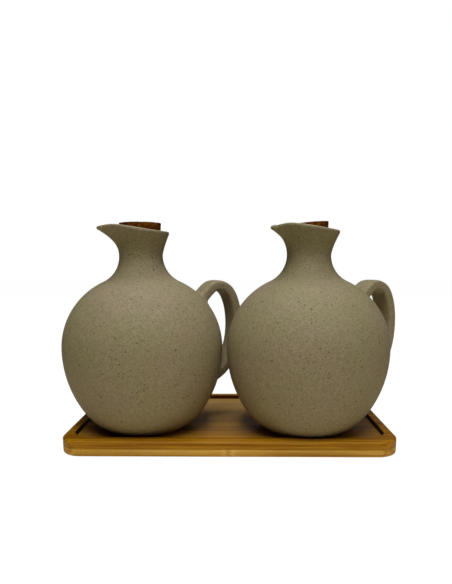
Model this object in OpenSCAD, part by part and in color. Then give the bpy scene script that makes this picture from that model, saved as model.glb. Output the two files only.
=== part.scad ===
// Cruet set: two round stoneware jugs with strap handles, pulled pouring
// lips and tapered cork stoppers, standing in the recess of a two-ply
// bamboo tray.
// Frame: origin at the centre of the tray's underside, +Z up, +X along the
// tray to the right, -Y towards the tray's front edge. Millimetres.

/* [Tray] */
// Length of the tray along X
tray_w = 215; // [200:1:260]
// Depth of the tray along Y
tray_d = 120; // [115:1:150]
// Thickness of each of the two bamboo plies
ply_t = 5; // [4:0.5:8]
// Plan radius of the tray's outer corners
tray_corner_r = 14; // [10:1:20]
// Width of the raised rim along the front of the recess
rim_front_w = 8.5; // [7:0.1:8.9]
// Width of the raised rim along the back
rim_back_w = 6.3; // [5:0.1:12]
// Width of the raised rim at each end
rim_side_w = 6.1; // [5:0.1:10]
// Plan radius of the recess's corners
recess_corner_r = 13; // [8:1:16]
// Depth of the recess milled into the upper ply
recess_depth = 3; // [2:0.5:3.5]
// Radius rounded onto the tray's outer edges, top and bottom
edge_r = 1.2; // [0.5:0.1:2]

/* [Jug body] */
// Radius of the flat foot
foot_r = 24.94; // [24.5:0.01:25]
// Depth of the shallow dish under the foot
foot_dish = 0.9; // [0.5:0.1:1.2]
// Width of the standing ring around that dish
foot_ring_w = 4.4; // [3.5:0.1:6]
// Radius of the small arc at the edge of the foot
foot_edge_r = 1.5; // [1:0.1:2]
// Slope of the short cone above the foot, in degrees
foot_slope = 26.5; // [26:0.5:27]
// Height at which that cone meets the base arc
foot_cone_z = 0.3; // [0.25:0.01:0.4]
// Radius of the arc that turns the base up into the flank
base_arc_r = 41.59; // [41:0.01:42]
// Slope where the base arc ends, in degrees
base_arc_end = 57.5; // [55:0.5:60]
// Radius of the flank arc
flank_arc_r = 74.9; // [72:0.1:78]
// Slope where the flank arc ends, in degrees
flank_arc_end = 91.2; // [90.5:0.1:92]
// Radius of the upper ball
ball_arc_r = 49.2; // [48:0.1:50]
// Slope where the ball turns into the neck, in degrees
ball_arc_end = 155.4; // [154:0.1:156.5]
// Radius of the hollow curve between ball and neck
cove_r = 18.85; // [18:0.05:20]
// Thickness of the stoneware wall
wall_t = 3.8; // [3.2:0.1:4.2]
// Thickness of the floor of the jug
floor_t = 5; // [4.5:0.1:5.5]

/* [Lip and beak] */
// Mean radius of the lip, measured to its outside
lip_r = 21.05; // [20:0.05:22]
// How far the lip's centre sits towards the beak
lip_shift = 2.4; // [1.5:0.1:3]
// Extra half width of the lip across the pouring line
lip_oval = 0.9; // [0:0.1:1.5]
// Mean height of the lip above the foot
lip_z = 134.8; // [133:0.1:137]
// Rise of the lip from the handle side to the beak side
lip_rise = 2.3; // [1:0.1:3]
// Dip of the lip at its two sides
lip_dip = 0.9; // [0:0.1:1.5]
// Half width of the beak, as an angle in degrees
beak_half_angle = 17; // [15:0.5:22]
// Radius of the rounded edge of the lip
lip_edge_r = 1.75; // [1.5:0.05:1.9]
// How far the beak reaches beyond the lip, left jug then right jug
beak_reach_left = 5.1; // [4:0.1:6]
beak_reach_right = 4.4; // [4:0.1:6]
// How far the beak's tip droops below the lip, left jug then right jug
beak_droop_left = 1.7; // [1:0.1:3]
beak_droop_right = 2.4; // [1:0.1:3]
// How far the beak was pulled out of line with the handle, in degrees
beak_skew = 4.5; // [0:0.5:6]

/* [Handle] */
// Width of the strap
strap_w = 15.8; // [14:0.2:17]
// Thickness of the strap
strap_t = 7.5; // [6.5:0.1:8]

/* [Stoppers] */
// Height of each cork
cork_h = 16; // [14:0.5:17]
// Radius of the top of the left cork
cork_top_r = 13.8; // [13.6:0.05:13.85]
// Radius of the top of the right cork
cork_right_top_r = 13.15; // [12.9:0.05:13.2]
// Taper of each cork's side, in degrees from its axis
cork_taper = 4.5; // [4:0.1:5]
// Height of the left cork's top above the foot of the jug
cork_top_z = 138.9; // [138.5:0.1:139.5]
// How much deeper the right cork sits
cork_right_drop = 0.8; // [0:0.1:1]
// Lean of the right cork towards the left, in degrees
cork_lean = 4.5; // [0:0.5:5]

/* [Arrangement] */
// Place of the left jug's axis on the tray
left_x = -58.7; // [-59.5:0.1:-58]
left_y = -17.1; // [-18:0.1:-10]
// Place of the right jug's axis on the tray
right_x = 52.8; // [52.5:0.1:54]
right_y = -20.5; // [-20.5:0.1:-14]
// Direction in which each handle points, in degrees from +X
left_turn = 30; // [28:0.5:34]
right_turn = 29; // [20:0.5:40]

/* [Hidden] */
stoneware = [0.56, 0.51, 0.40];
bamboo_dark = [0.55, 0.36, 0.12];
bamboo_light = [0.68, 0.50, 0.24];
cork_brown = [0.50, 0.28, 0.11];

tray_t = 2 * ply_t;
floor_z = tray_t - recess_depth;      // level the jugs stand on
seat_gap = 0.1;                        // radial room around the left cork
lip_ledge = 0.12;                      // the lip starts this far proud of the neck
arc_step = 4;                          // degrees between profile points

// ---- outline of the jug: a chain of tangent arcs ----------------------
// A point on an arc that starts at p with slope a0, reached at slope a.
// Positive r turns upwards, negative r turns back outwards.
function on_arc(p, r, a0, a) =
    [p[0] + r * (sin(a) - sin(a0)), p[1] + r * (cos(a0) - cos(a))];
function arc(p, r, a0, a1) =
    let (n = max(2, ceil(abs(a1 - a0) / arc_step)))
    [for (i = [1:n]) on_arc(p, r, a0, a0 + (a1 - a0) * i / n)];
function last(v) = v[len(v) - 1];

foot_pts = concat([[foot_r, 0]], arc([foot_r, 0], foot_edge_r, 0, foot_slope));
cone_end = let (q = last(foot_pts))
    [q[0] + (foot_cone_z - q[1]) / tan(foot_slope), foot_cone_z];
base_end = on_arc(cone_end, base_arc_r, foot_slope, base_arc_end);
flank_end = on_arc(base_end, flank_arc_r, base_arc_end, flank_arc_end);
ball_end = on_arc(flank_end, ball_arc_r, flank_arc_end, ball_arc_end);
neck_end = on_arc(ball_end, -cove_r, ball_arc_end, 90);
outer_pts = concat(foot_pts, [cone_end],
    arc(cone_end, base_arc_r, foot_slope, base_arc_end),
    arc(base_end, flank_arc_r, base_arc_end, flank_arc_end),
    arc(flank_end, ball_arc_r, flank_arc_end, ball_arc_end),
    arc(ball_end, -cove_r, ball_arc_end, 90));
neck_r = neck_end[0];
neck_z = neck_end[1];

// The same arcs, moved inwards by the wall thickness; the base is thicker
// towards the foot, so its inside has an arc of its own
inner_arc_r = 29;
inner_slope = 25;
function inset(p, a) = [p[0] - wall_t * sin(a), p[1] + wall_t * cos(a)];
in1 = inset(base_end, base_arc_end);
in0 = [in1[0] - inner_arc_r * (sin(base_arc_end) - sin(inner_slope)),
       in1[1] - inner_arc_r * (cos(inner_slope) - cos(base_arc_end))];
in2 = inset(flank_end, flank_arc_end);
in3 = inset(ball_end, ball_arc_end);
inner_pts = concat([[0, floor_t], [in0[0] - 4, floor_t], in0],
    arc(in0, inner_arc_r, inner_slope, base_arc_end),
    arc(in1, flank_arc_r - wall_t, base_arc_end, flank_arc_end),
    arc(in2, ball_arc_r - wall_t, flank_arc_end, ball_arc_end),
    arc(in3, -(cove_r + wall_t), ball_arc_end, 90));
bore_r = last(inner_pts)[0];

// ---- seat of the cork --------------------------------------------------
cork_bottom_z = cork_top_z - cork_h;
function cork_r_at(z) = cork_top_r - (cork_top_z - z) * tan(cork_taper);
seat_lo = cork_bottom_z - 0.6;
seat_hi = 127.3;
throat_z = 127.6;
throat_r = cork_r_at(seat_hi) + seat_gap + 1.0;

// ---- lip and beak --------------------------------------------------------
// a is the angle from the beak, in degrees, within -180..180
function bump(a, w) = exp(-pow(a / w, 2));
function lip_rad(a, reach) = lip_r + lip_shift * cos(a)
    + lip_oval * (1 - cos(2 * a)) / 2 + reach * bump(a, beak_half_angle);
function lip_top(a, droop) = lip_z + lip_rise * cos(a)
    + lip_dip * cos(2 * a) - droop * bump(a, beak_half_angle);
function flare(a) = 1.3 + 0.9 * bump(a, 86);
// outside radius at a fraction s of the way from the neck to the lip
function out_rad(a, s, reach) =
    neck_r + lip_ledge
    + (lip_rad(a, reach) - neck_r - lip_ledge) * pow(s, flare(a));

lip_n = 90;
out_rows = 11;
edge_rows = 4;
in_rows = 5;
function lip_angle(i) = let (a = 360 * i / lip_n) a > 180 ? a - 360 : a;
function lip_row(k, reach, droop) = [for (i = [0:lip_n - 1])
    let (a = lip_angle(i), R = lip_rad(a, reach), e = lip_edge_r,
         top = lip_top(a, droop) - e,
         rz = k < out_rows
            // outside of the lip, from the neck up
            ? let (s = k / (out_rows - 1))
              [out_rad(a, s, reach), neck_z + (top - neck_z) * s]
            : k < out_rows + 2 * edge_rows
            // rounded edge, over the top and down inside
            ? let (g = 180 * (k - out_rows + 1) / (2 * edge_rows))
              [R - e + e * cos(g), top + e * sin(g)]
            : k < out_rows + 2 * edge_rows + in_rows
            // throat, a wall thickness inside the outer surface
            ? let (u = (k - out_rows - 2 * edge_rows + 1) / in_rows,
                   z = top + (throat_z - top) * u,
                   s = max(0, (z - neck_z) / (top - neck_z)))
              [max(throat_r, out_rad(a, s, reach) - 2 * e), z]
            : k == out_rows + 2 * edge_rows + in_rows
            ? [throat_r - 0.05, throat_z]
            // hidden inside the wall of the seat
            : [neck_r - 2, neck_z])
    [rz[0] * cos(a), rz[0] * sin(a), rz[1]]];
lip_rows = out_rows + 2 * edge_rows + in_rows + 2;

module lip_ring(reach, droop) {
    pts = [for (k = [0:lip_rows - 1]) each lip_row(k, reach, droop)];
    faces = [for (k = [0:lip_rows - 1]) for (i = [0:lip_n - 1])
        let (j = (i + 1) % lip_n, k2 = (k + 1) % lip_rows,
             a = k * lip_n + i, b = k * lip_n + j,
             c = k2 * lip_n + j, d = k2 * lip_n + i)
        each [[a, c, b], [a, d, c]]];
    polyhedron(points = pts, faces = faces, convexity = 6);
}

// Ball, neck and the ring that holds the cork, all turned about one axis
module jug_turned() {
    rotate_extrude($fn = 120) polygon(concat(
        outer_pts,
        [[neck_r - 0.5, neck_z],
         [throat_r + 0.9, seat_hi],
         [cork_r_at(seat_hi) + seat_gap, seat_hi],
         [cork_r_at(seat_lo) + seat_gap, seat_lo]],
        [for (i = [len(inner_pts) - 1:-1:0]) inner_pts[i]],
        [[0, foot_dish],
         [foot_r - foot_ring_w - 2.5, foot_dish],
         [foot_r - foot_ring_w, 0]]));
}

// Solid ball outline, used to cut the handle's feet to the ball
module jug_outside() {
    rotate_extrude($fn = 120)
        polygon(concat(outer_pts, [[0, neck_z], [0, 0]]));
}

module jug_body(reach, droop) {
    union() {
        jug_turned();
        rotate([0, 0, 180 - beak_skew]) lip_ring(reach, droop);
    }
}

// ---- strap handle --------------------------------------------------------
// Centre line of the strap: distance from the jug's axis, and height
handle_path = [[41.5, 86.5], [53, 96.5], [63.5, 94], [69.5, 82],
               [71, 65.5], [68, 49.5], [59.5, 36], [46, 27.5]];
strap_sides = 20;
strap_steps = 5;
// Catmull-Rom point between p1 and p2
function cr(p0, p1, p2, p3, t) = 0.5 * (2 * p1 + (p2 - p0) * t
    + (2 * p0 - 5 * p1 + 4 * p2 - p3) * t * t
    + (3 * p1 - p0 - 3 * p2 + p3) * t * t * t);
function path_pt(i, t) = let (n = len(handle_path),
        p1 = handle_path[i], p2 = handle_path[i + 1],
        p0 = i > 0 ? handle_path[i - 1] : 2 * p1 - p2,
        p3 = i < n - 2 ? handle_path[i + 2] : 2 * p2 - p1)
    cr(p0, p1, p2, p3, t);
handle_line = concat(
    [for (i = [0:len(handle_path) - 2]) for (t = [0:strap_steps - 1])
        path_pt(i, t / strap_steps)],
    [last(handle_path)]);
function power(x, e) = sign(x) * pow(abs(x), e);
// Soft rectangle across the strap
function strap_ring(k) = let (n = len(handle_line),
        a = handle_line[max(0, k - 1)], b = handle_line[min(n - 1, k + 1)],
        p = handle_line[k], t = (b - a) / norm(b - a))
    [for (i = [0:strap_sides - 1]) let (g = 360 * (i + 0.5) / strap_sides,
        u = strap_w / 2 * power(cos(g), 0.67),
        v = strap_t / 2 * power(sin(g), 0.67))
        [p[0] - t[1] * v, u, p[1] + t[0] * v]];

module strap() {
    n = len(handle_line);
    m = strap_sides;
    pts = [for (k = [0:n - 1]) each strap_ring(k)];
    faces = concat(
        [for (k = [0:n - 2]) for (i = [0:m - 1])
            let (j = (i + 1) % m, a = k * m + i, b = k * m + j)
            each [[a, b + m, b], [a, a + m, b + m]]],
        [[for (i = [0:m - 1]) i]],
        [[for (i = [m - 1:-1:0]) (n - 1) * m + i]]);
    polyhedron(points = pts, faces = faces, convexity = 6);
}

module jug_handle() {
    difference() {
        strap();
        jug_outside();
    }
}

// ---- cork ----------------------------------------------------------------
module cork(top_r) {
    c = 0.5;
    bot_r = top_r - cork_h * tan(cork_taper);
    rotate_extrude($fn = 96) polygon([[0, 0], [bot_r - c, 0], [bot_r, c],
        [top_r, cork_h - c], [top_r - c, cork_h], [0, cork_h]]);
}

// ---- tray ----------------------------------------------------------------
module plate_2d(w, d, r) {
    square([w - 2 * r, d], center = true);
    square([w, d - 2 * r], center = true);
    for (x = [-1, 1], y = [-1, 1])
        translate([x * (w / 2 - r), y * (d / 2 - r)]) circle(r, $fn = 64);
}

// A ply between two heights, with its top outer edge rounded
module ply(z0, z1) {
    e = edge_r;
    zr = z1 - e;
    translate([0, 0, z0]) linear_extrude(z1 - z0 - e)
        plate_2d(tray_w, tray_d, tray_corner_r);
    translate([0, 0, z0]) linear_extrude(z1 - z0)
        plate_2d(tray_w - 2 * e, tray_d - 2 * e, tray_corner_r - e);
    for (y = [-1, 1]) translate([0, y * (tray_d / 2 - e), zr])
        rotate([0, 90, 0])
            cylinder(h = tray_w - 2 * tray_corner_r, r = e, center = true,
                     $fn = 32);
    for (x = [-1, 1]) translate([x * (tray_w / 2 - e), 0, zr])
        rotate([90, 0, 0])
            cylinder(h = tray_d - 2 * tray_corner_r, r = e, center = true,
                     $fn = 32);
    for (x = [-1, 1], y = [-1, 1])
        translate([x * (tray_w / 2 - tray_corner_r),
                   y * (tray_d / 2 - tray_corner_r), zr])
            rotate_extrude($fn = 64)
                translate([tray_corner_r - e, 0]) circle(e, $fn = 32);
}

// ---- the pieces, in place --------------------------------------------------
module tray_lower_ply() {
    color(bamboo_light) translate([0, 0, tray_t]) mirror([0, 0, 1])
        ply(ply_t, tray_t);
}

module tray_upper_ply() {
    color(bamboo_dark) difference() {
        ply(ply_t, tray_t);
        translate([0, (rim_front_w - rim_back_w) / 2, floor_z])
            linear_extrude(recess_depth + 1)
                plate_2d(tray_w - 2 * rim_side_w,
                         tray_d - rim_front_w - rim_back_w,
                         recess_corner_r);
    }
}

module at_left() {
    translate([left_x, left_y, floor_z]) children();
}

module at_right() {
    translate([right_x, right_y, floor_z]) children();
}

module left_jug_body() {
    color(stoneware) at_left() rotate([0, 0, left_turn])
        jug_body(beak_reach_left, beak_droop_left);
}

module left_jug_handle() {
    color(stoneware) at_left() rotate([0, 0, left_turn]) jug_handle();
}

module left_cork_stopper() {
    color(cork_brown) at_left()
        translate([0, 0, cork_bottom_z]) cork(cork_top_r);
}

module right_jug_body() {
    color(stoneware) at_right() rotate([0, 0, right_turn])
        jug_body(beak_reach_right, beak_droop_right);
}

module right_jug_handle() {
    color(stoneware) at_right() rotate([0, 0, right_turn]) jug_handle();
}

module right_cork_stopper() {
    color(cork_brown) at_right()
        translate([0, 0, cork_bottom_z - cork_right_drop + 3.5])
            rotate([0, -cork_lean, 0])
            translate([0, 0, -3.5]) cork(cork_right_top_r);
}

tray_lower_ply();
tray_upper_ply();
left_jug_body();
left_jug_handle();
left_cork_stopper();
right_jug_body();
right_jug_handle();
right_cork_stopper();
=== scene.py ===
"""Looks for the cruet set: two stoneware jugs with cork stoppers on a bamboo tray.

Every length below is in millimetres until mm() turns it into metres. The
shapes repeat the rules of the CAD model at a finer resolution, and add the
luted handle roots, the worn edges and the surface detail.
"""

import math

import bpy
import numpy as np
from mathutils import Matrix, Vector, noise


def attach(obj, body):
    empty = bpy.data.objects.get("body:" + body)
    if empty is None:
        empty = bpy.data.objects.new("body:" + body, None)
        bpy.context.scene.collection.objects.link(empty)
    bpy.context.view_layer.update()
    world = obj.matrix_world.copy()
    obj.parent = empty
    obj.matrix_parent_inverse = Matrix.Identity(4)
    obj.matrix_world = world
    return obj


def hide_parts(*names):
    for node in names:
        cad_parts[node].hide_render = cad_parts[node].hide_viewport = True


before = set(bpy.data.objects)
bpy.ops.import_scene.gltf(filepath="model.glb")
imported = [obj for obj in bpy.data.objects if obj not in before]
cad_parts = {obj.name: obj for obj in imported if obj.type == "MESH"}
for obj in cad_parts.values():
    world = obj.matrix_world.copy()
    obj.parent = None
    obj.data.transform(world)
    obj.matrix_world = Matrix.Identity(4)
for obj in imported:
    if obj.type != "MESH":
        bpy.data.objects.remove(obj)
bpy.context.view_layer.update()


# --------------------------------------------------------------------------
# sizes, the same as in the CAD model
# --------------------------------------------------------------------------
TRAY_W, TRAY_D, PLY = 215.0, 120.0, 5.0
CORNER_R, RECESS, EDGE_R = 14.0, 3.0, 1.2
RIM_FRONT, RIM_BACK, RIM_SIDE, RECESS_R = 8.5, 6.3, 6.1, 13.0
TRAY_T = 2 * PLY
FLOOR_Z = TRAY_T - RECESS
WALL, BASE_T = 3.8, 5.0
LIP_R, LIP_SHIFT, LIP_OVAL = 21.05, 2.4, 0.9
LIP_Z, LIP_RISE, LIP_DIP = 134.8, 2.3, 0.9
BEAK_W, LIP_E, BEAK_SKEW = 17.0, 1.75, 4.5
LIP_SQ = 0.42
STRAP_W, STRAP_T = 15.8, 7.5
CORK_H, CORK_TAPER, CORK_TOP_Z = 16.0, 4.5, 138.9
CORK_BOTTOM_Z = CORK_TOP_Z - CORK_H
JUGS = {
    "left": dict(x=-58.7, y=-17.1, turn=30.0, reach=5.1, droop=1.7,
                 cork_r=13.8, drop=0.0, lean=0.0, seed=3),
    "right": dict(x=52.8, y=-20.5, turn=29.0, reach=4.4, droop=2.4,
                  cork_r=13.15, drop=0.8, lean=4.5, seed=11),
}


def mm(v):
    return v * 0.001


# --------------------------------------------------------------------------
# mesh helpers
# --------------------------------------------------------------------------
def make_object(name, verts, faces, smooth=True, attrs=None):
    mesh = bpy.data.meshes.new(name)
    mesh.from_pydata([tuple(mm(c) for c in v) for v in verts], [], faces)
    mesh.validate()
    mesh.update()
    if smooth:
        mesh.polygons.foreach_set("use_smooth", [True] * len(mesh.polygons))
    for key, values in (attrs or {}).items():
        layer = mesh.attributes.new(key, "FLOAT", "POINT")
        layer.data.foreach_set("value", [float(v) for v in values])
    ob = bpy.data.objects.new(name, mesh)
    bpy.context.scene.collection.objects.link(ob)
    return ob


def grid_faces(rows, n, start=0):
    """Quads between consecutive closed rings of n points."""
    out = []
    for k in range(rows - 1):
        a, b = start + k * n, start + (k + 1) * n
        for i in range(n):
            j = (i + 1) % n
            out.append((a + i, a + j, b + j, b + i))
    return out


def sharp_edges(ob, degrees):
    """Marks edges sharper than an angle, so smooth shading stays clean."""
    mesh = ob.data
    import bmesh
    bm = bmesh.new()
    bm.from_mesh(mesh)
    lim = math.radians(degrees)
    for e in bm.edges:
        if len(e.link_faces) == 2 and e.calc_face_angle(0.0) > lim:
            e.smooth = False
    bm.to_mesh(mesh)
    bm.free()


# --------------------------------------------------------------------------
# outline of the jug: a chain of tangent arcs
# --------------------------------------------------------------------------
def sind(a):
    return math.sin(math.radians(a))


def cosd(a):
    return math.cos(math.radians(a))


def on_arc(p, r, a0, a):
    return (p[0] + r * (sind(a) - sind(a0)), p[1] + r * (cosd(a0) - cosd(a)))


def arc(p, r, a0, a1, step):
    n = max(3, math.ceil(abs(a1 - a0) / step))
    return [on_arc(p, r, a0, a0 + (a1 - a0) * i / n) for i in range(1, n + 1)]


FOOT_R, FOOT_E, FOOT_S, FOOT_Z = 24.94, 1.5, 26.5, 0.3
ARCS = ((41.59, 26.5, 57.5), (74.9, 57.5, 91.2), (49.2, 91.2, 155.4),
        (-18.85, 155.4, 90.0))


def jug_outline(step=2.5):
    pts = [(FOOT_R, 0.0)] + arc((FOOT_R, 0.0), FOOT_E, 0.0, FOOT_S, step)
    q = pts[-1]
    end = (q[0] + (FOOT_Z - q[1]) / math.tan(math.radians(FOOT_S)), FOOT_Z)
    for t in (0.2, 0.4, 0.6, 0.8):
        pts.append((q[0] + (end[0] - q[0]) * t, q[1] + (end[1] - q[1]) * t))
    pts.append(end)
    p = end
    starts = [end]
    for r, a0, a1 in ARCS:
        pts += arc(p, r, a0, a1, step)
        p = on_arc(p, r, a0, a1)
        starts.append(p)
    return pts, starts


OUTER, STARTS = jug_outline()
NECK_R, NECK_Z = OUTER[-1]


def inset(p, a, w=WALL):
    return (p[0] - w * sind(a), p[1] + w * cosd(a))


def jug_inside(step=4.0):
    # the base thickens towards the foot, so its inside has an arc of its own
    low = inset(STARTS[1], 57.5)
    first = (low[0] - 29.0 * (sind(57.5) - sind(25.0)),
             low[1] - 29.0 * (cosd(25.0) - cosd(57.5)))
    pts = [first] + arc(first, 29.0, 25.0, 57.5, step)
    for (r, a0, a1), p, a in zip(ARCS[1:], STARTS[1:], (57.5, 91.2, 155.4)):
        pts += arc(inset(p, a), r - WALL, a0, a1, step)
    return pts


INNER = jug_inside()
BORE_R = INNER[-1][0]


def cork_r_at(z, top_r=13.8):
    return top_r - (CORK_TOP_Z - z) * math.tan(math.radians(CORK_TAPER))


SEAT_LO, SEAT_HI = CORK_BOTTOM_Z - 0.6, 127.3
THROAT_Z = 127.6
THROAT_R = cork_r_at(SEAT_HI) + 1.1


def bump(a, w):
    return math.exp(-((a / w) ** 2))


def lip_rad(a, reach):
    return (LIP_R + LIP_SHIFT * cosd(a) + LIP_OVAL * (1 - cosd(2 * a)) / 2
            + reach * bump(a, BEAK_W))


def lip_top(a, droop):
    return (LIP_Z + LIP_RISE * cosd(a) + LIP_DIP * cosd(2 * a)
            - droop * bump(a, BEAK_W))


def out_rad(a, s, reach):
    return NECK_R + (lip_rad(a, reach) - NECK_R) * s ** (1.3 + 0.9 * bump(a, 86))


def jug_mesh(side, g, n=192):
    """Closed jug: outside from the foot to the lip, then down the inside."""
    rings, rim = [], []
    beak0 = 180.0 - BEAK_SKEW        # the beak's direction in the jug's frame

    def add(fn, edge=0.0):
        ring = []
        for i in range(n):
            t = 360.0 * i / n
            a = (t - beak0 + 180.0) % 360.0 - 180.0
            r, z = fn(a)
            ring.append((r * cosd(t), r * sind(t), z))
        rings.append(ring)
        rim.extend([edge] * n)

    # underside: a shallow dished foot inside a flat standing ring
    for r, z in ((7.0, 0.9), (14.0, 0.9), (17.6, 0.85), (18.9, 0.5),
                 (19.9, 0.12), (20.6, 0.0), (23.0, 0.0)):
        add(lambda a, r=r, z=z: (r, z))
    for r, z in OUTER:
        add(lambda a, r=r, z=z: (r, z))
    # outside of neck and lip
    rows = 20
    for k in range(1, rows + 1):
        s = k / rows
        def f(a, s=s):
            top = lip_top(a, g["droop"]) - LIP_E
            return (out_rad(a, s, g["reach"]), NECK_Z + (top - NECK_Z) * s)
        add(f, max(0.0, (s - 0.9) / 0.1) * 0.5)
    # rounded edge of the lip
    for k in range(1, 21):
        q = 180.0 * k / 20
        def f(a, q=q):
            top = lip_top(a, g["droop"]) - LIP_E
            c, t = cosd(q), sind(q)
            # a squarer edge than a half circle: the lip was trimmed, then sponged
            return (lip_rad(a, g["reach"]) - LIP_E
                    + LIP_E * math.copysign(abs(c) ** LIP_SQ, c),
                    top + LIP_E * abs(t) ** LIP_SQ)
        add(f, 0.5 + 0.5 * sind(q))
    # throat, one wall thickness inside
    for k in range(1, 11):
        u = k / 10
        def f(a, u=u):
            top = lip_top(a, g["droop"]) - LIP_E
            z = top + (THROAT_Z - top) * u
            s = max(0.0, (z - NECK_Z) / (top - NECK_Z))
            return (max(THROAT_R, out_rad(a, s, g["reach"]) - 2 * LIP_E), z)
        add(f, max(0.0, 0.5 - u))
    add(lambda a: (THROAT_R - 0.35, SEAT_HI))
    add(lambda a: (cork_r_at(SEAT_HI) + 0.3, SEAT_HI - 0.15))
    for u in (0.0, 0.25, 0.5, 0.75, 1.0):
        z = SEAT_HI - 0.45 + (SEAT_LO - SEAT_HI + 0.45) * u
        add(lambda a, z=z: (cork_r_at(z) + 0.1, z))
    for r, z in reversed(INNER):
        add(lambda a, r=r, z=z: (r, z))
    for r, z in ((INNER[0][0] - 2.2, BASE_T + 0.2), (INNER[0][0] - 5, BASE_T),
                 (8.0, BASE_T)):
        add(lambda a, r=r, z=z: (r, z))

    verts = [p for ring in rings for p in ring]
    faces = grid_faces(len(rings), n)
    low = len(verts)
    verts.append((0.0, 0.0, 0.9))
    verts.append((0.0, 0.0, BASE_T))
    rim += [0.0, 0.0]
    last = (len(rings) - 1) * n
    for i in range(n):
        j = (i + 1) % n
        faces.append((low, j, i))
        faces.append((low + 1, last + i, last + j))
    return verts, faces, rim


# --------------------------------------------------------------------------
# strap handle with luted roots
# --------------------------------------------------------------------------
PATH = [(41.5, 86.5), (53, 96.5), (63.5, 94), (69.5, 82),
        (71, 65.5), (68, 49.5), (59.5, 36), (46, 27.5)]
_OUT = np.array(OUTER)


def ball_distance(r, z):
    """Signed distance from the ball's outside, positive outside it."""
    p = np.array((r, z))
    a, b = _OUT[:-1], _OUT[1:]
    d = b - a
    t = np.clip(((p - a) * d).sum(1) / (d * d).sum(1), 0, 1)
    q = a + d * t[:, None]
    dist = np.hypot(*(p - q).T)
    k = int(dist.argmin())
    nrm = np.array((d[k][1], -d[k][0]))
    return float(dist[k]) * (1.0 if (p - q[k]) @ nrm >= 0 else -1.0)


def path_point(i, t):
    P = [np.array(p, float) for p in PATH]
    p1, p2 = P[i], P[i + 1]
    p0 = P[i - 1] if i > 0 else 2 * p1 - p2
    p3 = P[i + 2] if i < len(P) - 2 else 2 * p2 - p1
    return 0.5 * (2 * p1 + (p2 - p0) * t + (2 * p0 - 5 * p1 + 4 * p2 - p3) * t * t
                  + (3 * p1 - p0 - 3 * p2 + p3) * t ** 3)


def strap_mesh(fillet=4.2, steps=22, m=56):
    line = [path_point(i, t / steps) for i in range(len(PATH) - 1) for t in range(steps)]
    line.append(np.array(PATH[-1], float))
    n = len(line)
    verts = []
    for k in range(n):
        a, b = line[max(0, k - 1)], line[min(n - 1, k + 1)]
        t = (b - a) / np.linalg.norm(b - a)
        for i in range(m):
            g = 2 * math.pi * (i + 0.5) / m
            c, s = math.cos(g), math.sin(g)
            u = STRAP_W / 2 * math.copysign(abs(c) ** 0.5, c)
            v = STRAP_T / 2 * math.copysign(abs(s) ** 0.42, s)
            for _ in range(2):
                r, z, y = line[k][0] - t[1] * v, line[k][1] + t[0] * v, u
                d = ball_distance(math.hypot(r, y), z)
                x = min(max(d, 0.0), fillet)
                grow = fillet - math.sqrt(max(0.0, fillet ** 2 - (fillet - x) ** 2))
                break
            size = math.hypot(u, v)
            u2, v2 = u * (1 + grow / size), v * (1 + grow / size)
            verts.append((line[k][0] - t[1] * v2, u2, line[k][1] + t[0] * v2))
    faces = grid_faces(n, m)
    faces.append(tuple(range(m)))
    faces.append(tuple(reversed(range((n - 1) * m, n * m))))
    # outward facing
    return verts, [tuple(reversed(f)) for f in faces]


# --------------------------------------------------------------------------
# corks
# --------------------------------------------------------------------------
def cork_mesh(top_r, seed, n=120):
    bot_r = top_r - CORK_H * math.tan(math.radians(CORK_TAPER))
    prof = [(r, 0.0) for r in np.linspace(0.6, bot_r - 0.7, 12)]
    prof += [(bot_r - 0.7 + 0.7 * sind(q), 0.7 - 0.7 * cosd(q)) for q in (30, 60, 90)]
    for t in np.linspace(0.06, 0.97, 34):
        z = CORK_H * t
        prof.append((bot_r + z * math.tan(math.radians(CORK_TAPER)), z))
    e = 0.25
    prof += [(top_r - e + e * cosd(q), CORK_H - e + e * sind(q)) for q in (20, 45, 70, 90)]
    prof += [(r, CORK_H) for r in np.linspace(top_r - 0.7, 0.6, 18)]
    verts = []
    off = Vector((seed * 7.3, seed * 3.1, seed * 5.7))
    for r, z in prof:
        for i in range(n):
            t = 360.0 * i / n
            p = Vector((r * cosd(t), r * sind(t), z))
            # small pits and torn grains, always inwards
            f1 = noise.noise((p + off) * 0.55)
            f2 = noise.noise((p + off) * 1.3)
            pit = max(0.0, f1 - 0.18) * 0.9 + max(0.0, f2 - 0.25) * 0.6
            pit = min(pit, 0.3)
            if z < 0.01 or z > CORK_H - 0.2:
                q = Vector((p.x, p.y, p.z + (pit if z < 0.01 else -pit)))
            else:
                k = 1.0 - pit / max(r, 1.0)
                q = Vector((p.x * k, p.y * k, p.z))
            verts.append(tuple(q))
    faces = grid_faces(len(prof), n)
    low = len(verts)
    verts += [(0.0, 0.0, 0.0), (0.0, 0.0, CORK_H)]
    last = (len(prof) - 1) * n
    for i in range(n):
        j = (i + 1) % n
        faces.append((low, j, i))
        faces.append((low + 1, last + i, last + j))
    return verts, faces


# --------------------------------------------------------------------------
# tray plies
# --------------------------------------------------------------------------
def rounded_rect(w, d, r, per=14, long_n=24, short_n=14):
    """Closed loop round a rounded rectangle, always with the same count."""
    r = max(r, 0.3)
    pts = []
    hw, hd = w / 2 - r, d / 2 - r
    for cx, cy, a0, side in ((hw, -hd, -90, "e"), (hw, hd, 0, "n"),
                             (-hw, hd, 90, "w"), (-hw, -hd, 180, "s")):
        for i in range(per + 1):
            a = a0 + 90.0 * i / per
            pts.append((cx + r * cosd(a), cy + r * sind(a)))
        # straight run to the next corner
        count = short_n if side in "ew" else long_n
        nx, ny = {"e": (hw + r, hd), "n": (-hw, hd + r),
                  "w": (-hw - r, -hd), "s": (hw, -hd - r)}[side]
        x0, y0 = pts[-1]
        for i in range(1, count):
            f = i / count
            pts.append((x0 + (nx - x0) * f, y0 + (ny - y0) * f))
    return pts


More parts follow.
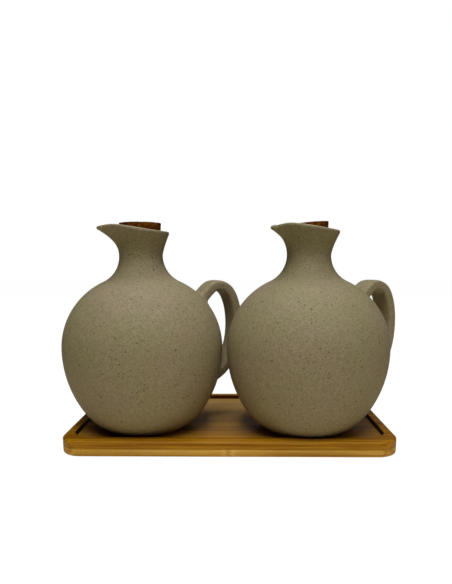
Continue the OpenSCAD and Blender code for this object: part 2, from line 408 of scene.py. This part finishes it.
def loft(loops, cap_first=True, cap_last=True):
    n = len(loops[0])
    verts = [p for loop in loops for p in loop]
    faces = grid_faces(len(loops), n)
    if cap_first:
        faces.append(tuple(reversed(range(n))))
    if cap_last:
        faces.append(tuple(range((len(loops) - 1) * n, len(loops) * n)))
    return verts, faces


def tray_loop(off, z, r0=CORNER_R, w=TRAY_W, d=TRAY_D):
    return [(x, y, z) for x, y in rounded_rect(w - 2 * off, d - 2 * off, r0 - off)]


def upper_ply_mesh():
    seam, e = 0.18, EDGE_R
    loops = [tray_loop(2.0, PLY), tray_loop(seam, PLY), tray_loop(0.05, PLY + 0.08),
             tray_loop(0.0, PLY + seam)]
    for q in range(0, 91, 10):
        loops.append(tray_loop(e - e * cosd(q), TRAY_T - e + e * sind(q)))
    iw, id_ = TRAY_W - 2 * RIM_SIDE, TRAY_D - RIM_FRONT - RIM_BACK
    mid = (RIM_FRONT - RIM_BACK) / 2

    def inner(o, z):
        return [(x, y + mid, z) for x, y in
                rounded_rect(iw - 2 * o, id_ - 2 * o, RECESS_R - o)]
    wall = [0.0] * len(loops)
    b = 0.35                                   # broken inner edge of the rim
    for q in range(0, 91, 15):
        loops.append(inner(-b + b * sind(q), TRAY_T - b + b * cosd(q)))
        wall.append(0.0 if q < 15 else 1.0)
    f = 0.3                                    # cutter's fillet at the floor
    for q in range(0, 91, 15):
        loops.append(inner(f - f * cosd(q), FLOOR_Z + f - f * sind(q)))
        wall.append(1.0)
    bed = [0.0] * len(loops)
    for o in (0.5, 2.2):                       # the flat bed of the recess
        loops.append(inner(o, FLOOR_Z))
        wall.append(0.0)
        bed.append(1.0)
    return loft(loops) + ([w for w in wall for _ in loops[0]],
                          [w for w in bed for _ in loops[0]])


def lower_ply_mesh():
    seam, e = 0.18, EDGE_R
    loops = [tray_loop(e - e * cosd(q), e - e * sind(q)) for q in range(90, -1, -10)]
    loops += [tray_loop(0.0, PLY - seam), tray_loop(0.05, PLY - 0.08),
              tray_loop(seam, PLY), tray_loop(2.0, PLY)]
    return loft(loops)


# --------------------------------------------------------------------------
# node helpers
# --------------------------------------------------------------------------
class Nodes:
    """Small helper that wires shader nodes of one material."""

    def __init__(self, name):
        self.mat = bpy.data.materials.new(name)
        self.mat.use_nodes = True
        self.t = self.mat.node_tree
        self.t.nodes.clear()
        self.out = self.t.nodes.new("ShaderNodeOutputMaterial")
        self.bsdf = self.t.nodes.new("ShaderNodeBsdfPrincipled")
        self.t.links.new(self.bsdf.outputs["BSDF"], self.out.inputs["Surface"])
        self.obj = self.t.nodes.new("ShaderNodeTexCoord").outputs["Object"]

    def link(self, a, b):
        self.t.links.new(a, b)

    def put(self, sock, v):
        if isinstance(v, bpy.types.NodeSocket):
            self.link(v, sock)
        elif v is not None:
            sock.default_value = v

    def scaled(self, vec, scale, loc=(0, 0, 0), rot=(0, 0, 0)):
        m = self.t.nodes.new("ShaderNodeMapping")
        self.link(vec, m.inputs["Vector"])
        m.inputs["Scale"].default_value = scale
        m.inputs["Location"].default_value = loc
        m.inputs["Rotation"].default_value = rot
        return m.outputs["Vector"]

    def noise(self, vec, scale=1.0, detail=2.0, rough=0.5, distortion=0.0, out="Fac"):
        n = self.t.nodes.new("ShaderNodeTexNoise")
        self.link(vec, n.inputs["Vector"])
        n.inputs["Scale"].default_value = scale
        n.inputs["Detail"].default_value = detail
        n.inputs["Roughness"].default_value = rough
        n.inputs["Distortion"].default_value = distortion
        return n.outputs[out]

    def voronoi(self, vec, scale=1.0, feature="F1", rand=1.0):
        n = self.t.nodes.new("ShaderNodeTexVoronoi")
        n.feature = feature
        self.link(vec, n.inputs["Vector"])
        n.inputs["Scale"].default_value = scale
        n.inputs["Randomness"].default_value = rand
        return n

    def white(self, value, dims="1D"):
        n = self.t.nodes.new("ShaderNodeTexWhiteNoise")
        n.noise_dimensions = dims
        self.put(n.inputs["W" if dims == "1D" else "Vector"], value)
        return n

    def math(self, op, a, b=None, c=None, clamp=False):
        n = self.t.nodes.new("ShaderNodeMath")
        n.operation = op
        n.use_clamp = clamp
        self.put(n.inputs[0], a)
        if b is not None:
            self.put(n.inputs[1], b)
        if c is not None:
            self.put(n.inputs[2], c)
        return n.outputs[0]

    def range(self, v, a, b, lo=0.0, hi=1.0, smooth=False):
        n = self.t.nodes.new("ShaderNodeMapRange")
        n.interpolation_type = "SMOOTHSTEP" if smooth else "LINEAR"
        self.put(n.inputs["Value"], v)
        n.inputs["From Min"].default_value = a
        n.inputs["From Max"].default_value = b
        n.inputs["To Min"].default_value = lo
        n.inputs["To Max"].default_value = hi
        return n.outputs["Result"]

    def mix(self, fac, a, b, blend="MIX"):
        n = self.t.nodes.new("ShaderNodeMix")
        n.data_type = "RGBA"
        n.blend_type = blend
        self.put(n.inputs["Factor"], fac)
        self.put(n.inputs["A"] if False else n.inputs[6], a)
        self.put(n.inputs[7], b)
        return n.outputs[2]

    def ramp(self, fac, stops):
        n = self.t.nodes.new("ShaderNodeValToRGB")
        self.link(fac, n.inputs["Fac"])
        els = n.color_ramp.elements
        while len(els) < len(stops):
            els.new(0.5)
        for e, (pos, col) in zip(els, stops):
            e.position = pos
            e.color = (*col, 1.0)
        return n.outputs["Color"]

    def split(self, vec):
        n = self.t.nodes.new("ShaderNodeSeparateXYZ")
        self.link(vec, n.inputs[0])
        return n.outputs

    def join(self, x, y, z):
        n = self.t.nodes.new("ShaderNodeCombineXYZ")
        for s, v in zip(n.inputs, (x, y, z)):
            self.put(s, v)
        return n.outputs[0]

    def attr(self, name):
        n = self.t.nodes.new("ShaderNodeAttribute")
        n.attribute_name = name
        return n.outputs["Fac"]

    def bump(self, height, distance, strength=1.0, normal=None):
        n = self.t.nodes.new("ShaderNodeBump")
        self.link(height, n.inputs["Height"])
        n.inputs["Distance"].default_value = distance
        n.inputs["Strength"].default_value = strength
        if normal is not None:
            self.link(normal, n.inputs["Normal"])
        return n.outputs["Normal"]

    def finish(self, color, rough, normal=None, spec=0.5, coat=0.0, coat_rough=0.2, ior=1.5,
               sheen=0.0):
        b = self.bsdf
        self.put(b.inputs["Base Color"], color)
        self.put(b.inputs["Roughness"], rough)
        b.inputs["IOR"].default_value = ior
        b.inputs["Specular IOR Level"].default_value = spec
        b.inputs["Coat Weight"].default_value = coat
        b.inputs["Coat Roughness"].default_value = coat_rough
        b.inputs["Sheen Weight"].default_value = sheen
        if normal is not None:
            self.link(normal, b.inputs["Normal"])
        return self.mat


def lin(r, g, b):
    """sRGB 0-255 to linear."""
    out = []
    for c in (r, g, b):
        c /= 255.0
        out.append(c / 12.92 if c <= 0.04045 else ((c + 0.055) / 1.055) ** 2.4)
    return tuple(out)


def rgba(c):
    return (*c, 1.0)


# --------------------------------------------------------------------------
# materials
# --------------------------------------------------------------------------
CLAY_WARM = lin(156, 142, 114)
CLAY_GREEN = lin(152, 143, 107)
SPECK = lin(62, 50, 28)
SPECK_FAINT = lin(118, 106, 76)


def stoneware(name, shift):
    m = Nodes(name)
    v = m.scaled(m.obj, (1000, 1000, 1000), loc=shift)
    # slow drift of the body's colour between warm and greenish
    drift = m.noise(v, 0.035, 3.0, 0.55)
    col = m.mix(m.range(drift, 0.35, 0.65, 0, 1, True), rgba(CLAY_WARM), rgba(CLAY_GREEN))
    # fine sandy grain
    grain = m.noise(v, 1.15, 2.0, 0.6)
    coarse = m.noise(v, 0.42, 3.0, 0.65)
    shade = m.math("ADD", m.range(grain, 0.32, 0.68, -0.15, 0.15, True),
                   m.range(coarse, 0.3, 0.7, 0.90, 1.08))
    tone = m.join(shade, shade, shade)
    col = m.mix(1.0, col, tone, "MULTIPLY")
    light = m.range(m.noise(v, 1.5, 2.0, 0.6), 0.56, 0.72, 0.0, 0.5, True)
    col = m.mix(light, col, rgba(lin(184, 174, 142)))
    # iron specks: fine dots everywhere, then fewer and darker ones
    relief = None
    for scale, keep, size, strength in ((0.85, 0.95, 0.42, 0.30), (0.42, 0.60, 0.24, 0.75),
                                        (0.19, 0.50, 0.125, 0.95)):
        vo = m.voronoi(v, scale)
        pick = m.split(vo.outputs["Color"])
        chance = m.math("LESS_THAN", pick[0], keep)
        radius = m.math("MULTIPLY_ADD", pick[1], size * 0.7, size * 0.5)
        wob = m.math("MULTIPLY_ADD", m.noise(v, 2.6, 2.0), size * 0.8, -size * 0.4)
        d = m.math("ADD", vo.outputs["Distance"], wob)
        spot = m.math("SUBTRACT", radius, d)
        spot = m.range(spot, 0.0, size * 0.4, 0.0, 1.0, True)
        spot = m.math("MULTIPLY", spot, chance)
        spot = m.math("MULTIPLY", spot, m.math("MULTIPLY_ADD", pick[2], 0.6 * strength,
                                               0.4 * strength))
        col = m.mix(spot, col, rgba(SPECK))
        relief = spot if relief is None else m.math("MAXIMUM", relief, spot)
    # the lip edge goes paler: partly the slip running thin at the rim, partly a painted highlight
    # where the edge catches the light from above
    rim = m.range(m.attr("rim"), 0.6, 1.0, 0.0, 0.8, True)
    rim = m.math("MULTIPLY", rim, m.range(m.noise(v, 0.5, 3.0), 0.25, 0.6, 0.55, 1.0))
    col = m.mix(rim, col, rgba(lin(184, 175, 143)))
    height = m.math("MULTIPLY_ADD", grain, 0.6, m.math("MULTIPLY", relief, -0.8))
    height = m.math("ADD", height, m.math("MULTIPLY", m.noise(v, 0.3, 2.0), 0.8))
    normal = m.bump(height, 0.00012, 0.55)
    rough = m.range(grain, 0.3, 0.7, 0.62, 0.74)
    return m.finish(col, rough, normal, spec=0.32)


def bamboo(name, tones, strip, seed, node_rows, rough_lo=0.36, rough_hi=0.52,
           light_back=0.0, mark_x=None):
    """Laminated bamboo, strips along X. tones: (dark, mid, light)."""
    m = Nodes(name)
    v = m.scaled(m.obj, (1000, 1000, 1000), loc=(seed * 13.7, 0, 0))
    x, y, z = m.split(v)
    # strips across Y; edges seen from the front take their strips across Z
    row = m.math("FLOOR", m.math("DIVIDE", m.math("ADD", y, 500.0 + seed), strip))
    tone = m.white(m.math("ADD", row, seed * 17.0)).outputs["Value"]
    tone2 = m.white(m.math("ADD", row, seed * 5.0 + 0.5)).outputs["Value"]
    # long fibres, stretched along X and kept apart from strip to strip
    fib = m.join(m.math("MULTIPLY_ADD", tone2, 300.0, m.math("MULTIPLY", x, 0.012)),
                 m.math("MULTIPLY", y, 1.0), m.math("MULTIPLY", z, 1.0))
    fibre = m.noise(fib, 1.1, 4.0, 0.66)
    fibre2 = m.noise(fib, 0.40, 3.0, 0.6, 0.3)
    streak = m.noise(fib, 2.4, 2.0, 0.5)
    f = m.math("MULTIPLY_ADD", fibre, 0.75, m.math("MULTIPLY", fibre2, 0.75))
    f = m.math("ADD", f, m.math("MULTIPLY_ADD", tone, 0.26, -0.38))
    if light_back:
        # the rearmost strips were cut from paler stock, and a painted-light gradient brightens the
        # board from y -5 mm to 38 mm towards the back, where more light falls
        f = m.math("ADD", f, m.range(y, 38.6, 39.2, 0.0, light_back, True))
        f = m.math("ADD", f, m.range(y, -5.0, 38.0, 0.0, 0.09, True))
    col = m.ramp(f, [(0.30, tones[0]), (0.50, tones[1]), (0.70, tones[2])])
    dark = m.range(streak, 0.55, 0.72, 0.0, 0.6, True)
    col = m.mix(dark, col, rgba(tuple(c * 0.55 for c in tones[0])))
    # slow change along the board
    slow = m.noise(m.join(m.math("MULTIPLY", x, 0.02), m.math("MULTIPLY", y, 0.06), 0.0), 1.0, 2.0)
    col = m.mix(m.range(slow, 0.3, 0.7, 0.0, 0.35), col, rgba(tones[0]))
    # joints between strips
    fy = m.math("FRACT", m.math("DIVIDE", m.math("ADD", y, 500.0 + seed), strip))
    edge = m.math("MINIMUM", fy, m.math("SUBTRACT", 1.0, fy))
    joint = m.range(edge, 0.0, 0.02, 1.0, 0.0)
    col = m.mix(m.math("MULTIPLY", joint, 0.55), col, rgba(tuple(c * 0.45 for c in tones[0])))
    # culm nodes: short darker bars across a strip, at its own place in each strip
    node_x = m.math("MULTIPLY", m.white(m.math("ADD", row, seed * 31.0)).outputs["Value"], 210.0)
    across = m.math("ABSOLUTE", m.math("SUBTRACT",
        m.math("MODULO", m.math("ADD", m.math("ADD", x, 1000.0), node_x), 210.0), 105.0))
    wob = m.math("MULTIPLY", m.math("SUBTRACT", m.noise(m.join(0.0, y, z), 0.9, 2.0), 0.5), 2.2)
    across = m.math("ADD", across, wob)
    has = m.math("LESS_THAN", m.white(m.math("ADD", row, seed * 41.0)).outputs["Value"], node_rows)
    bar = m.math("MULTIPLY", m.range(across, 0.2, 1.0, 1.0, 0.0, True), has)
    halo = m.math("MULTIPLY", m.range(across, 0.8, 5.0, 1.0, 0.0, True), has)
    col = m.mix(m.math("MULTIPLY", halo, 0.25), col, rgba(tones[2]))
    col = m.mix(m.math("MULTIPLY", bar, 0.3), col, rgba(tuple(c * 0.45 for c in tones[0])))
    if mark_x is not None:
        # one culm node crossing the board: a soft darker arc with a paler edge
        bow = m.math("MULTIPLY_ADD", m.noise(m.join(m.math("MULTIPLY", x, 0.15), y, z), 0.7, 2.0),
                     7.0, -3.5 - mark_x - seed * 13.7)
        near = m.math("ABSOLUTE", m.math("ADD", x, bow))
        col = m.mix(m.range(near, 2.5, 6.0, 0.35, 0.0, True), col, rgba(tones[2]))
        col = m.mix(m.range(near, 0.4, 2.6, 0.45, 0.0, True), col,
                    rgba(tuple(c * 0.7 for c in tones[0])))
    height = m.math("MULTIPLY_ADD", fibre, 0.5, m.math("MULTIPLY", joint, -0.8))
    height = m.math("ADD", height, m.math("MULTIPLY", dark, -0.5))
    normal = m.bump(height, 0.00010, 0.45)
    rough = m.range(fibre, 0.35, 0.65, rough_lo, rough_hi)
    # painted light: the bed of the recess is mixed towards a paler, greyer colour than the rim,
    # more strongly and paler towards the back, where more light falls from behind
    painted_back_light = m.mix(m.range(y, -25.0, 40.0, 0.0, 1.0, True), rgba(lin(176, 138, 84)),
                 rgba(lin(226, 188, 124)))
    col = m.mix(m.math("MULTIPLY", m.attr("bed"), m.range(y, -50.0, 0.0, 0.16, 0.55, True)),
                col, painted_back_light)
    # painted shade: the upright walls of the recess, which the lights hardly reach, are darkened
    # to near black at the sides and to a lighter red-brown at the back wall, which faces the front
    # light
    painted_wall_shade = m.mix(m.range(y, 40.0, 48.0, 0.0, 1.0, True), rgba(lin(34, 9, 4)),
                  rgba(lin(92, 30, 3)))
    col = m.mix(m.range(m.attr("wall"), 0.0, 1.0, 0.0, 0.96, True), col, painted_wall_shade)
    return m.finish(col, rough, normal, spec=0.2)


def cork_material():
    m = Nodes("cork_natural")
    v = m.scaled(m.obj, (1000, 1000, 1000))
    base = m.noise(v, 0.32, 4.0, 0.65)
    col = m.ramp(base, [(0.30, lin(78, 34, 1)), (0.5, lin(126, 68, 6)), (0.66, lin(172, 110, 26))])
    vo = m.voronoi(v, 0.9)
    cell = m.split(vo.outputs["Color"])[0]
    col = m.mix(m.range(cell, 0.0, 1.0, 0.0, 0.35), col, rgba(lin(98, 48, 8)))
    cell2 = m.voronoi(v, 0.9, "DISTANCE_TO_EDGE").outputs["Distance"]
    col = m.mix(m.range(cell2, 0.0, 0.09, 0.5, 0.0), col, rgba(lin(52, 22, 3)))
    # lenticels: long dark pores that run across the stopper
    lv = m.scaled(v, (0.35, 0.35, 1.5))
    pore = m.range(m.noise(lv, 0.75, 3.0, 0.6), 0.60, 0.68, 0.0, 1.0, True)
    col = m.mix(m.math("MULTIPLY", pore, 0.85), col, rgba(lin(34, 13, 3)))
    height = m.math("MULTIPLY_ADD", base, 0.6, m.math("MULTIPLY", pore, -1.0))
    height = m.math("ADD", height, m.range(cell2, 0.0, 0.12, -0.3, 0.0))
    normal = m.bump(height, 0.0004, 0.6)
    return m.finish(col, 0.82, normal, spec=0.08)


CLAY_LEFT = stoneware("stoneware_left", (12.0, 4.0, 31.0))
CLAY_RIGHT = stoneware("stoneware_right", (-57.0, 83.0, 7.0))
BAMBOO_DARK = bamboo("bamboo_caramel", (lin(124, 76, 2), lin(170, 113, 4), lin(212, 156, 30)),
                     7.2, 1.0, 0.12, light_back=0.10)
BAMBOO_LIGHT = bamboo("bamboo_light", (lin(180, 128, 38), lin(224, 176, 78), lin(244, 202, 112)),
                      19.0, 4.0, 0.0, mark_x=0.0)
CORK = cork_material()


def dress(ob, mat, body, nodes):
    ob.data.materials.clear()
    ob.data.materials.append(mat)
    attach(ob, body)
    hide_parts(*nodes)


# --------------------------------------------------------------------------
# pieces
# --------------------------------------------------------------------------
def place(verts, x, y, z, turn=0.0):
    c, s = cosd(turn), sind(turn)
    return [(x + a * c - b * s, y + a * s + b * c, z + h) for a, b, h in verts]


strap_v, strap_f = strap_mesh()
for side, g in JUGS.items():
    clay = CLAY_LEFT if side == "left" else CLAY_RIGHT
    body = side + "_cruet"
    verts, faces, rim = jug_mesh(side, g)
    jug = make_object(side + "_jug", place(verts, g["x"], g["y"], FLOOR_Z, g["turn"]),
                      faces, attrs={"rim": rim})
    sharp_edges(jug, 50)
    dress(jug, clay, body, [side + "_jug_body"])
    strap = make_object(side + "_strap_handle",
                        place(strap_v, g["x"], g["y"], FLOOR_Z, g["turn"]), strap_f,
                        attrs={"rim": [0.0] * len(strap_v)})
    sharp_edges(strap, 60)
    dress(strap, clay, body, [side + "_jug_handle"])
    cv, cf = cork_mesh(g["cork_r"], g["seed"])
    if g["lean"]:
        rot = Matrix.Rotation(math.radians(-g["lean"]), 3, "Y")
        cv = [tuple(rot @ Vector((a, b, h - 3.5)) + Vector((0, 0, 3.5))) for a, b, h in cv]
    cork = make_object(side + "_cork",
                       place(cv, g["x"], g["y"], FLOOR_Z + CORK_BOTTOM_Z - g["drop"]), cf)
    sharp_edges(cork, 50)
    dress(cork, CORK, side + "_stopper", [side + "_cork_stopper"])

v, f, wall, bed = upper_ply_mesh()
upper = make_object("tray_top_board", v, f, attrs={"wall": wall, "bed": bed})
sharp_edges(upper, 35)
dress(upper, BAMBOO_DARK, "tray", ["tray_upper_ply"])
v, f = lower_ply_mesh()
lower = make_object("tray_base_board", v, f, attrs={"wall": [0.0] * len(v), "bed": [0.0] * len(v)})
sharp_edges(lower, 35)
dress(lower, BAMBOO_LIGHT, "tray", ["tray_lower_ply"])

# --------------------------------------------------------------------------
# stage, light, camera
# --------------------------------------------------------------------------
floor_mesh = bpy.data.meshes.new("floor")
S = 4.0
floor_mesh.from_pydata([(-S, -S, -0.0002), (S, -S, -0.0002), (S, S, -0.0002), (-S, S, -0.0002)],
                       [], [(0, 1, 2, 3)])
floor = bpy.data.objects.new("floor", floor_mesh)
bpy.context.scene.collection.objects.link(floor)
# The floor shows plain white paper. Off the paper's bright middle it gives little
# light back to the object, as on a table top in a dim room.
fm = Nodes("floor_paper")
floor_mesh.materials.append(fm.mat)
geo = fm.t.nodes.new("ShaderNodeNewGeometry").outputs["Position"]
fx, fy, fz = fm.split(geo)
dist = fm.math("SQRT", fm.math("ADD", fm.math("MULTIPLY", fx, fx), fm.math("MULTIPLY", fy, fy)))
near = fm.range(dist, 0.28, 0.55, 1.0, 0.08, True)
tint = fm.mix(near, (0.02, 0.02, 0.02, 1.0), (0.84, 0.76, 0.58, 1.0))
bounce = fm.t.nodes.new("ShaderNodeBsdfDiffuse")
fm.link(tint, bounce.inputs["Color"])
paper = fm.t.nodes.new("ShaderNodeBsdfDiffuse")
paper.inputs["Color"].default_value = (0.12, 0.12, 0.12, 1.0)
glow = fm.t.nodes.new("ShaderNodeEmission")
glow.inputs["Strength"].default_value = 0.985
shown = fm.t.nodes.new("ShaderNodeAddShader")
fm.link(paper.outputs[0], shown.inputs[0])
fm.link(glow.outputs[0], shown.inputs[1])
path = fm.t.nodes.new("ShaderNodeLightPath")
both = fm.t.nodes.new("ShaderNodeMixShader")
fm.link(path.outputs["Is Camera Ray"], both.inputs[0])
fm.link(bounce.outputs[0], both.inputs[1])
fm.link(shown.outputs[0], both.inputs[2])
fm.link(both.outputs[0], fm.out.inputs["Surface"])
fm.t.nodes.remove(fm.bsdf)

world = bpy.data.worlds.new("studio")
bpy.context.scene.world = world
world.use_nodes = True
wt = world.node_tree
bg = wt.nodes["Background"]
bg.inputs["Color"].default_value = (1.0, 0.82, 0.52, 1.0)
bg.inputs["Strength"].default_value = 0.022
white = wt.nodes.new("ShaderNodeBackground")
white.inputs["Color"].default_value = (1.0, 1.0, 1.0, 1.0)
white.inputs["Strength"].default_value = 1.0
wpath = wt.nodes.new("ShaderNodeLightPath")
wmix = wt.nodes.new("ShaderNodeMixShader")
wt.links.new(wpath.outputs["Is Camera Ray"], wmix.inputs[0])
wt.links.new(bg.outputs[0], wmix.inputs[1])
wt.links.new(white.outputs[0], wmix.inputs[2])
wt.links.new(wmix.outputs[0], wt.nodes["World Output"].inputs["Surface"])
bpy.context.scene.view_settings.view_transform = "Standard"


def area(name, loc, aim, w, h, power, color=(1, 1, 1)):
    li = bpy.data.lights.new(name, "AREA")
    li.shape = "RECTANGLE"
    li.size, li.size_y = w, h
    li.energy = power
    li.color = color
    ob = bpy.data.objects.new(name, li)
    ob.location = loc
    d = Vector(aim) - Vector(loc)
    ob.rotation_euler = d.to_track_quat("-Z", "Y").to_euler()
    bpy.context.scene.collection.objects.link(ob)
    return ob


area("overhead", (0.0, 0.0, 1.2), (0, 0, 0.05), 0.5, 0.5, 4.3)
area("key_front", (0.0, -0.6, 1.04), (0, 0, 0.05), 0.5, 0.5, 6.8)
area("side_right", (0.6, -0.6, 0.85), (0, 0, 0.08), 0.5, 0.5, 0.75)
area("rear_fill", (0.2, 1.3, 0.7), (0, 0, 0.08), 0.9, 0.6, 0.45)

# the camera solved from the outlines: metres, pitch down, small yaw and roll
pitch, yaw, roll = (math.radians(a) for a in (9.588, -1.099, 0.205))
fwd = Vector((math.sin(yaw) * math.cos(pitch), math.cos(yaw) * math.cos(pitch), -math.sin(pitch)))
right = Vector((math.cos(yaw), -math.sin(yaw), 0.0))
down = fwd.cross(right)
r2 = math.cos(roll) * right + math.sin(roll) * down
d2 = -math.sin(roll) * right + math.cos(roll) * down
cam_data = bpy.data.cameras.new("camera")
cam_data.sensor_width = 36.0
cam_data.sensor_fit = "AUTO"
cam_data.lens = 499.4 * 36.0 / 584.0
cam_data.shift_x = (226.0 - 225.9) / 584.0
cam_data.shift_y = (349.92 - 292.0) / 584.0
cam_data.clip_start = 0.01
cam_data.clip_end = 20.0
cam = bpy.data.objects.new("camera", cam_data)
cam.matrix_world = Matrix((
    (r2.x, -d2.x, -fwd.x, 0.00437),
    (r2.y, -d2.y, -fwd.y, -0.35616),
    (r2.z, -d2.z, -fwd.z, 0.11809),
    (0, 0, 0, 1)))
bpy.context.scene.collection.objects.link(cam)
bpy.context.scene.camera = cam
